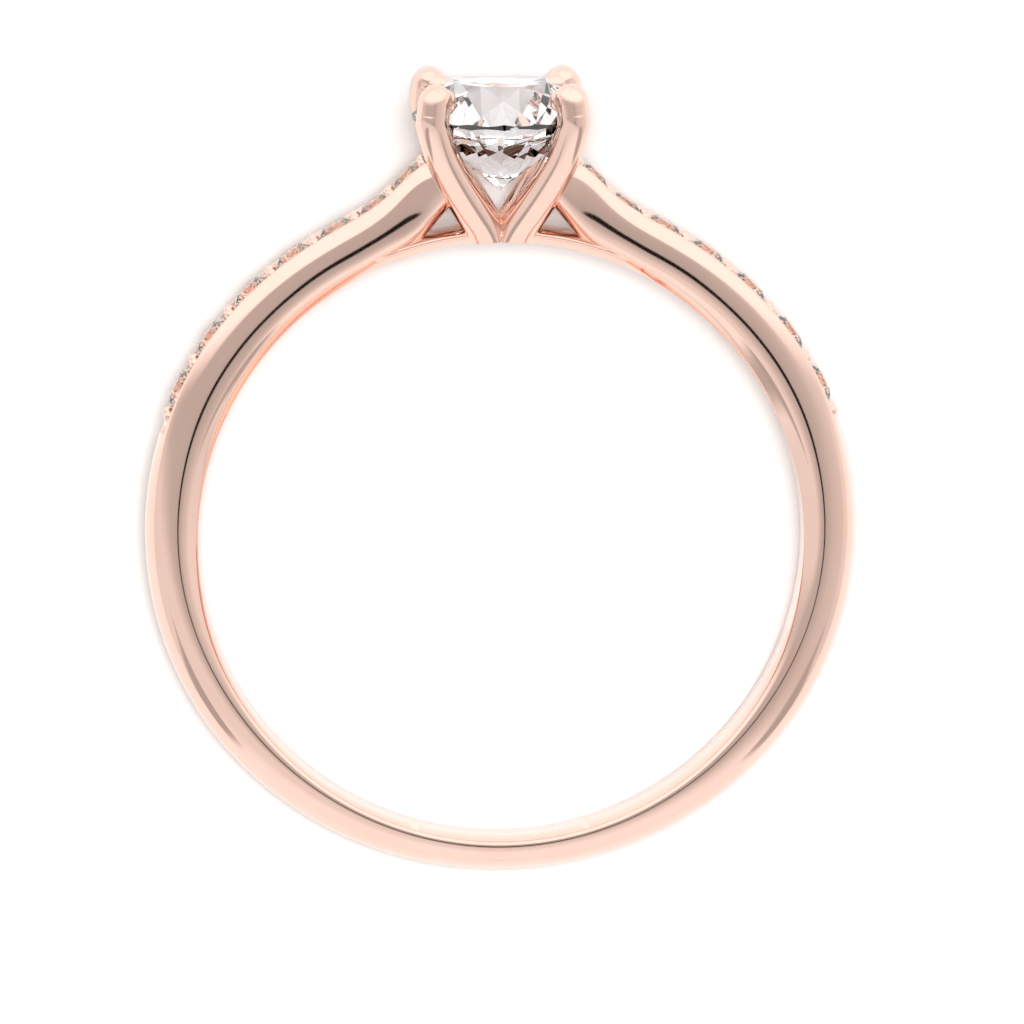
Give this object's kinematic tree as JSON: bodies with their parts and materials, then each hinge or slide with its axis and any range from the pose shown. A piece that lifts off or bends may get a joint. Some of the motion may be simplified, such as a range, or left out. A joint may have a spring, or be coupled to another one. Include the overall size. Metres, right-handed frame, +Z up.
{
  "type": "cubic zirconia ring",
  "caption": "Four-claw solitaire finger ring with a round brilliant centre stone on cathedral shoulders set with small stones.",
  "frame": {"origin": "on the surface that the ring lies on, under the middle of its bounding box", "axes": "+Y from the back of the finger towards the head with the centre stone; +X across the band; +Z up from the surface, which is the finger's direction leaning back by 4.1 degrees"},
  "size_m": [0.0204, 0.023, 0.005],
  "materials": {
    "rose_gold": "mirror polish",
    "cubic_zirconia": "cut and polished facets"
  },
  "bodies": {
    "root": {"band_and_claws": "rose_gold", "centre_stone": "cubic_zirconia", "shoulder_stone_left_1": "cubic_zirconia", "shoulder_stone_left_2": "cubic_zirconia", "shoulder_stone_left_3": "cubic_zirconia", "shoulder_stone_left_4": "cubic_zirconia", "shoulder_stone_left_5": "cubic_zirconia", "shoulder_stone_left_6": "cubic_zirconia", "shoulder_stone_left_7": "cubic_zirconia", "shoulder_stone_right_1": "cubic_zirconia", "shoulder_stone_right_2": "cubic_zirconia", "shoulder_stone_right_3": "cubic_zirconia", "shoulder_stone_right_4": "cubic_zirconia", "shoulder_stone_right_5": "cubic_zirconia", "shoulder_stone_right_6": "cubic_zirconia", "shoulder_stone_right_7": "cubic_zirconia"}
  },
  "joints": []
}
